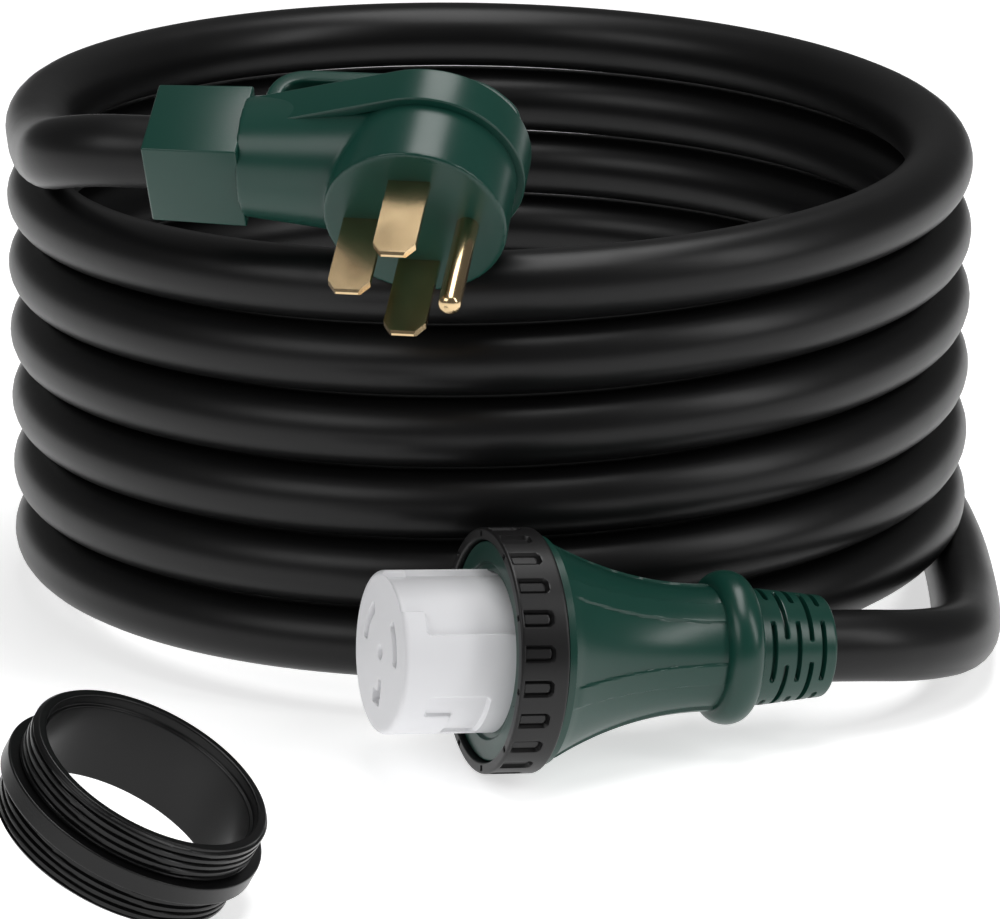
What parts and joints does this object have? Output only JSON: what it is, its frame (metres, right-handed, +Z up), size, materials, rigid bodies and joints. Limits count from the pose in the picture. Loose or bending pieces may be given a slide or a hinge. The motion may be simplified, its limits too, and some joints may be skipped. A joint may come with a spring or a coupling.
{
  "type": "shore power cord",
  "caption": "Coiled heavy power cord with a right-angle four-blade plug, a locking connector with a threaded ring, and a loose threaded adapter ring.",
  "frame": {"origin": "bottom centre of the whole object's box, on the surface that the coil lies on", "axes": "+Z up; +Y from the connector's side to the coil's back; +X towards the side where the connector's lead leaves the coil"},
  "size_m": [0.3836, 0.5996, 0.2482],
  "materials": {
    "cable_rubber": "satin",
    "moulded_green": "satin",
    "ring_black": "satin",
    "adapter_black": "gloss",
    "insert_white": "satin",
    "gasket_rubber": "matte",
    "brass": "polished",
    "steel": "satin",
    "core_black": "satin",
    "core_red": "satin",
    "core_white": "satin",
    "core_green": "satin",
    "inner_black": "matte"
  },
  "bodies": {
    "root": {"plug_collar": "moulded_green", "plug_body": "moulded_green", "plug_rim_band": "moulded_green", "plug_handle": "moulded_green", "plug_handle_seat": "moulded_green", "plug_face": "moulded_green", "plug_inner_core": "inner_black", "plug_ground_pin": "brass", "plug_terminal_crimps": "brass", "plug_cord_tail": "cable_rubber", "plug_blade_line_x": "brass", "plug_blade_line_y": "brass", "plug_blade_neutral": "brass", "plug_wire_line_x": "core_black", "plug_wire_line_y": "core_red", "plug_wire_neutral": "core_white", "plug_wire_ground": "core_green", "connector_body": "moulded_green", "connector_bead": "moulded_green", "strain_relief_boot": "moulded_green", "connector_front_flange": "moulded_green", "face_insert": "insert_white", "contact_neutral": "brass", "contact_ground": "brass", "sealing_gasket": "gasket_rubber", "connector_terminal_screws": "steel", "connector_cord_tail": "cable_rubber", "contact_line_x": "brass", "contact_line_y": "brass", "connector_wire_line_x": "core_black", "connector_wire_line_y": "core_red", "connector_wire_neutral": "core_white", "connector_wire_ground": "core_green", "cable_coil": "cable_rubber", "cable_lead_plug": "cable_rubber", "cable_lead_connector": "cable_rubber"},
    "locking_ring": {"locking_ring": "ring_black"},
    "adapter_ring": {"threaded_adapter_ring": "adapter_black"}
  },
  "joints": [
    {"name": "locking_ring_spin", "type": "hinge", "parent": "root", "child": "locking_ring", "pos_m": [0.00155, -0.12102, 0.04539], "axis": [-0.9441, -0.3159, 0.0941], "continuous": true},
    {"name": "adapter_ring_lift", "type": "slide", "parent": "root", "child": "adapter_ring", "axis": [0, 0, 1], "range_m": [0, 0.15]}
  ]
}
